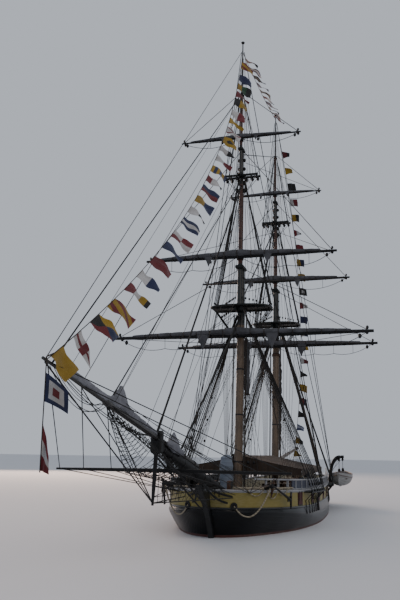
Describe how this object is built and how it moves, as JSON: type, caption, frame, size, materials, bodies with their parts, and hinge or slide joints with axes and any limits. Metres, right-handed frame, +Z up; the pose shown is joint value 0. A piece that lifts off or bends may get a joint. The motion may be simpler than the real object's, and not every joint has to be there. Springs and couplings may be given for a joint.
{
  "type": "two-masted square-rigged sailing brig, 1:2 scale model",
  "caption": "Two-masted square-rigged brig, afloat with sails furled, awning spread, quarter boats on davits and dressing lines of signal flags from stem to stern.",
  "frame": {"origin": "amidships on the centreline at the waterline, the point that the mount waterline names", "axes": "+X forward to the bow, +Y to port, +Z up"},
  "size_m": [28.1501, 9.06, 20.1039],
  "materials": {
    "black_paint": "painted, worn semi-gloss",
    "ochre_paint": "painted, worn semi-gloss",
    "white_paint": "painted, worn semi-gloss",
    "buff_paint": "painted, worn semi-gloss",
    "dark_green_paint": "painted, worn semi-gloss",
    "blue_paint": "painted, worn semi-gloss",
    "red_paint": "painted, worn semi-gloss",
    "varnished_wood": "varnished",
    "deck_planks": "scrubbed bare",
    "copper_sheathing": "dull oxidised copper sheets",
    "ironwork": "black painted",
    "tarred_rope": "tarred hemp",
    "hemp_rope": "laid hemp",
    "canvas": "weathered flax canvas",
    "brown_canvas": "weathered canvas",
    "bunting": "woven wool bunting in flag colours"
  },
  "bodies": {
    "root": {"awning": "brown_canvas", "bowsprit": "buff_paint", "bulwark": "ochre_paint", "cathead_port": "black_paint", "cathead_starboard": "black_paint", "davits_port": "black_paint", "davits_starboard": "black_paint", "deck": "deck_planks", "deck_fittings": "varnished_wood", "dressing_line_aft": "bunting", "dressing_line_fore": "bunting", "dressing_line_middle": "bunting", "fore_lower_mast": "buff_paint", "fore_rigging_port": "tarred_rope", "fore_rigging_starboard": "tarred_rope", "fore_stay": "tarred_rope", "fore_top": "dark_green_paint", "fore_topgallant_mast": "buff_paint", "fore_topgallant_stay": "tarred_rope", "fore_topmast": "varnished_wood", "fore_topmast_stay": "tarred_rope", "furled_jibs": "canvas", "head_rails": "white_paint", "hull": "black_paint", "jib_stay": "tarred_rope", "jibboom": "buff_paint", "keel": "copper_sheathing", "main_lower_mast": "buff_paint", "main_rigging_port": "tarred_rope", "main_rigging_starboard": "tarred_rope", "main_stay": "tarred_rope", "main_top": "dark_green_paint", "main_topgallant_mast": "buff_paint", "main_topgallant_stay": "tarred_rope", "main_topmast": "varnished_wood", "main_topmast_stay": "tarred_rope", "martingale": "black_paint", "quarter_boat_port": "white_paint", "quarter_boat_starboard": "white_paint", "spritsail_yard": "black_paint", "upper_rail_port": "white_paint", "upper_rail_starboard": "white_paint", "windsail": "canvas"},
    "fore_course": {"fore_course_yard": "black_paint", "fore_course_furled": "canvas"},
    "fore_topsail": {"fore_topsail_yard": "black_paint", "fore_topsail_furled": "canvas"},
    "fore_topgallant": {"fore_topgallant_yard": "black_paint", "fore_topgallant_furled": "canvas"},
    "main_course": {"main_course_yard": "black_paint", "main_course_furled": "canvas"},
    "main_topsail": {"main_topsail_yard": "black_paint", "main_topsail_furled": "canvas"},
    "main_topgallant": {"main_topgallant_yard": "black_paint", "main_topgallant_furled": "canvas"},
    "rudder": {"rudder": "copper_sheathing"},
    "wheel": {"steering_wheel": "varnished_wood"},
    "boom": {"boom": "buff_paint"},
    "gaff": {"gaff": "buff_paint", "driver_brailed": "canvas"}
  },
  "joints": [
    {"name": "fore_course_brace", "type": "hinge", "parent": "root", "child": "fore_course", "pos_m": [4.70848, 0, 6.305], "axis": [-0.0639, 0, 0.998], "range_deg": [-30, 30]},
    {"name": "fore_topsail_brace", "type": "hinge", "parent": "root", "child": "fore_topsail", "pos_m": [4.8096, 0, 9.1], "axis": [-0.0639, 0, 0.998], "range_deg": [-30, 30]},
    {"name": "fore_topgallant_brace", "type": "hinge", "parent": "root", "child": "fore_topgallant", "pos_m": [4.7284, 0, 13.65], "axis": [-0.0639, 0, 0.998], "range_deg": [-30, 30]},
    {"name": "main_course_brace", "type": "hinge", "parent": "root", "child": "main_course", "pos_m": [-2.38755, 0, 6.975], "axis": [-0.0778, 0, 0.997], "range_deg": [-30, 30]},
    {"name": "main_topsail_brace", "type": "hinge", "parent": "root", "child": "main_topsail", "pos_m": [-2.3357, 0, 9.9], "axis": [-0.0778, 0, 0.997], "range_deg": [-30, 30]},
    {"name": "main_topgallant_brace", "type": "hinge", "parent": "root", "child": "main_topgallant", "pos_m": [-2.45135, 0, 14.075], "axis": [-0.0778, 0, 0.997], "range_deg": [-30, 30]},
    {"name": "rudder_turn", "type": "hinge", "parent": "root", "child": "rudder", "pos_m": [-8.43655, 0, -0.5], "axis": [-0.0679, 0, 0.9977], "range_deg": [-35, 35]},
    {"name": "wheel_turn", "type": "hinge", "parent": "root", "child": "wheel", "pos_m": [-7.15, 0, 1.29614], "axis": [1, 0, 0], "range_deg": [-540, 540]},
    {"name": "boom_swing", "type": "hinge", "parent": "root", "child": "boom", "pos_m": [-2.0034, 0, 2.05], "axis": [-0.0778, 0, 0.997], "range_deg": [-35, 35]},
    {"name": "gaff_swing", "type": "hinge", "parent": "root", "child": "gaff", "pos_m": [-2.3583, 0, 6.6], "axis": [-0.0778, 0, 0.997], "range_deg": [-30, 30]}
  ],
  "couplings": [
    {"joint": "wheel_turn", "follows": "rudder_turn", "ratio": 15.4}
  ]
}
